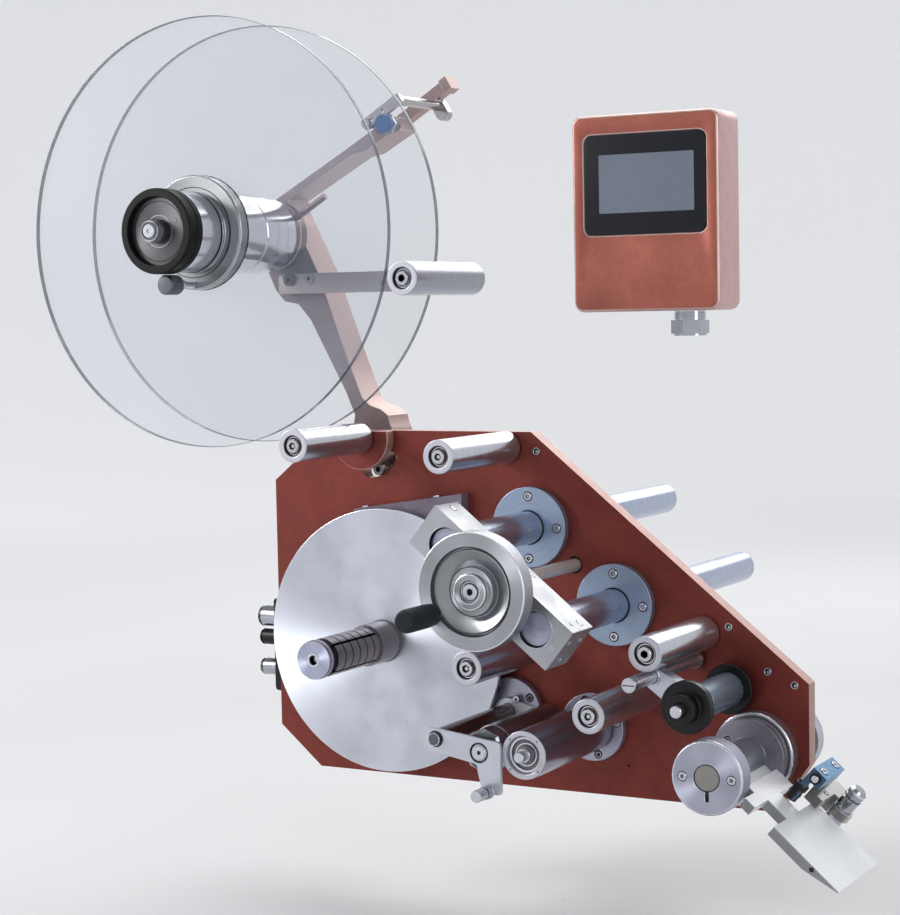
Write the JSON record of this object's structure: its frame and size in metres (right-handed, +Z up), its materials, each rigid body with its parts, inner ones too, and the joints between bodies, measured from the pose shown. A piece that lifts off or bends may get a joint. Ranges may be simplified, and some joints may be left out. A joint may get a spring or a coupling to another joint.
{
  "type": "label dispenser machine",
  "caption": "Label dispenser: upright web plate with leaning reel arm, idle and driven rollers, rewinder, peel plate, handwheel adjustment on guide shafts and a separate operator terminal.",
  "frame": {"origin": "centre of the upper guide shaft's rear end face", "axes": "+Z up, +Y along the guide shafts away from the operator, +X to the operator's right, towards the peel plate"},
  "size_m": [0.8059, 0.547, 0.745],
  "materials": {
    "anodised_plate": "satin red-brown anodised",
    "arm_metal": "satin grey-brown",
    "bright_aluminium": "turned or ground",
    "bright_steel": "ground",
    "blued_steel": "satin bluish",
    "chromed": "polished",
    "dark_steel": "dark satin",
    "rubber": "matt",
    "black_plastic": "matt",
    "clear_plastic": "clear",
    "blue_plastic": "satin",
    "terminal_case": "satin red-brown anodised",
    "terminal_front": "glossy dark with a grey screen"
  },
  "bodies": {
    "guide_frame": {"guide_shaft_upper": "bright_steel", "guide_shaft_lower": "bright_steel", "end_bracket": "bright_aluminium", "terminal_housing": "terminal_case", "terminal_panel": "terminal_front", "terminal_gland": "chromed"},
    "handwheel_screw": {"lead_screw": "bright_steel", "handwheel": "bright_steel"},
    "crank_grip": {"crank_knob": "black_plastic"},
    "carriage": {"main_plate": "anodised_plate", "pivot_boss": "anodised_plate", "bush_upper": "blued_steel", "bush_lower": "blued_steel", "lead_nut": "bright_steel", "press_rod": "bright_steel", "rewind_bearing": "blued_steel", "rewind_cover": "arm_metal", "rewind_belt": "rubber", "drive_bearing": "blued_steel", "drive_motor": "black_plastic", "nip_bearing": "blued_steel", "nip_shaft": "dark_steel", "junction_box": "black_plastic", "peel_socket": "bright_steel"},
    "idler_top_left": {"roller_top_left": "chromed"},
    "idler_top_middle": {"roller_top_middle": "chromed"},
    "idler_right": {"roller_right": "chromed"},
    "idler_lower": {"roller_lower": "chromed"},
    "idler_middle": {"roller_middle": "chromed"},
    "rewinder": {"rewind_mandrel": "bright_aluminium", "rewind_disc": "bright_aluminium"},
    "rewind_drive": {"rewind_pulley": "black_plastic"},
    "driver": {"drive_roller": "bright_steel", "drive_pulley": "black_plastic"},
    "nip": {"nip_lever": "bright_aluminium"},
    "nip_roller": {"pressure_roller": "bright_steel"},
    "press": {"press_arm": "bright_aluminium"},
    "guide_spool": {"spool_sleeve": "blued_steel", "spool_flange": "black_plastic"},
    "spool_nut": {"press_knob": "black_plastic"},
    "peel_head": {"peel_tube": "bright_steel", "peel_clamp": "bright_steel", "peel_wheel": "bright_steel", "peel_plate": "bright_aluminium", "label_sensor": "blue_plastic", "sensor_bracket": "bright_aluminium", "sensor_post": "bright_steel"},
    "reel_arm": {"unwinder_arm": "arm_metal", "dancer_bar": "arm_metal", "feeler_bar": "arm_metal", "feeler_frame": "chromed", "diameter_sensor": "blue_plastic"},
    "brake": {"brake_collar": "dark_steel"},
    "web_roller": {"dancer_roller": "chromed"},
    "reel_hub": {"reel_mandrel": "chromed", "grip_ring": "rubber", "rear_disc": "clear_plastic"},
    "reel_front": {"front_disc": "clear_plastic", "clamp_ring": "bright_steel"},
    "reel_clamp": {"clamp_knob": "bright_steel"}
  },
  "joints": [
    {"name": "handwheel_turn", "type": "hinge", "parent": "guide_frame", "child": "handwheel_screw", "pos_m": [0.042, -0.48, -0.0336], "axis": [0, 1, 0], "range_deg": [-1802, 1802]},
    {"name": "crank_grip_turn", "type": "hinge", "parent": "handwheel_screw", "child": "crank_grip", "pos_m": [0.00736, -0.52, -0.0536], "axis": [0, 1, 0], "continuous": true},
    {"name": "plate_travel", "type": "slide", "parent": "guide_frame", "child": "carriage", "axis": [0, 1, 0], "range_m": [-0.04, 0.04]},
    {"name": "idler_top_left_turn", "type": "hinge", "parent": "carriage", "child": "idler_top_left", "pos_m": [-0.175, -0.37, 0.0795], "axis": [0, 1, 0], "continuous": true},
    {"name": "idler_top_middle_turn", "type": "hinge", "parent": "carriage", "child": "idler_top_middle", "pos_m": [-0.0252, -0.37, 0.0721], "axis": [0, 1, 0], "continuous": true},
    {"name": "idler_right_turn", "type": "hinge", "parent": "carriage", "child": "idler_right", "pos_m": [0.167, -0.37, -0.0881], "axis": [0, 1, 0], "continuous": true},
    {"name": "idler_lower_turn", "type": "hinge", "parent": "carriage", "child": "idler_lower", "pos_m": [0.1143, -0.37, -0.1442], "axis": [0, 1, 0], "continuous": true},
    {"name": "idler_middle_turn", "type": "hinge", "parent": "carriage", "child": "idler_middle", "pos_m": [-0.0016, -0.37, -0.1111], "axis": [0, 1, 0], "continuous": true},
    {"name": "rewinder_turn", "type": "hinge", "parent": "carriage", "child": "rewinder", "pos_m": [-0.1466, -0.37, -0.11], "axis": [0, 1, 0], "continuous": true},
    {"name": "rewind_pulley_turn", "type": "hinge", "parent": "carriage", "child": "rewind_drive", "pos_m": [-0.1466, -0.268, -0.11], "axis": [0, 1, 0], "continuous": true},
    {"name": "driver_turn", "type": "hinge", "parent": "carriage", "child": "driver", "pos_m": [0.0607, -0.37, -0.1789], "axis": [0, 1, 0], "continuous": true},
    {"name": "nip_open", "type": "hinge", "parent": "carriage", "child": "nip", "pos_m": [-0.0224, -0.37, -0.1705], "axis": [0, 1, 0], "range_deg": [0, 17], "stiffness_Nm_per_rad": 2, "springref_deg": -17.19},
    {"name": "nip_roller_turn", "type": "hinge", "parent": "nip", "child": "nip_roller", "pos_m": [0.0198, -0.37, -0.1792], "axis": [0, 1, 0], "continuous": true},
    {"name": "press_lift", "type": "hinge", "parent": "carriage", "child": "press", "pos_m": [0.16, -0.39, -0.112], "axis": [0, 1, 0], "range_deg": [-25, 0]},
    {"name": "spool_turn", "type": "hinge", "parent": "press", "child": "guide_spool", "pos_m": [0.195, -0.35, -0.134], "axis": [0, 1, 0], "continuous": true},
    {"name": "spool_nut_turn", "type": "hinge", "parent": "press", "child": "spool_nut", "pos_m": [0.195, -0.41, -0.134], "axis": [0, 1, 0], "continuous": true},
    {"name": "peel_tilt", "type": "hinge", "parent": "carriage", "child": "peel_head", "pos_m": [0.2165, -0.37, -0.1895], "axis": [0, 1, 0], "range_deg": [-15, 15]},
    {"name": "arm_tilt", "type": "hinge", "parent": "carriage", "child": "reel_arm", "pos_m": [-0.175, -0.27, 0.0795], "axis": [0, 1, 0], "range_deg": [-25, 15]},
    {"name": "brake_turn", "type": "hinge", "parent": "reel_arm", "child": "brake", "pos_m": [-0.27891, -0.295, 0.27409], "axis": [0, 1, 0], "range_deg": [-15, 15]},
    {"name": "web_roller_turn", "type": "hinge", "parent": "reel_arm", "child": "web_roller", "pos_m": [-0.05991, -0.37, 0.22709], "axis": [0, 1, 0], "continuous": true},
    {"name": "reel_turn", "type": "hinge", "parent": "reel_arm", "child": "reel_hub", "pos_m": [-0.27891, -0.37, 0.27409], "axis": [0, 1, 0], "continuous": true},
    {"name": "front_disc_slide", "type": "slide", "parent": "reel_hub", "child": "reel_front", "axis": [0, 1, 0], "range_m": [-0.035, 0.07]},
    {"name": "reel_clamp_turn", "type": "hinge", "parent": "reel_front", "child": "reel_clamp", "pos_m": [-0.27891, -0.46, 0.22629], "axis": [0, 1, 0], "continuous": true}
  ],
  "couplings": [
    {"joint": "handwheel_turn", "follows": "plate_travel", "rad_per_m": -785.4},
    {"joint": "rewind_pulley_turn", "follows": "driver_turn", "ratio": 0.48}
  ]
}
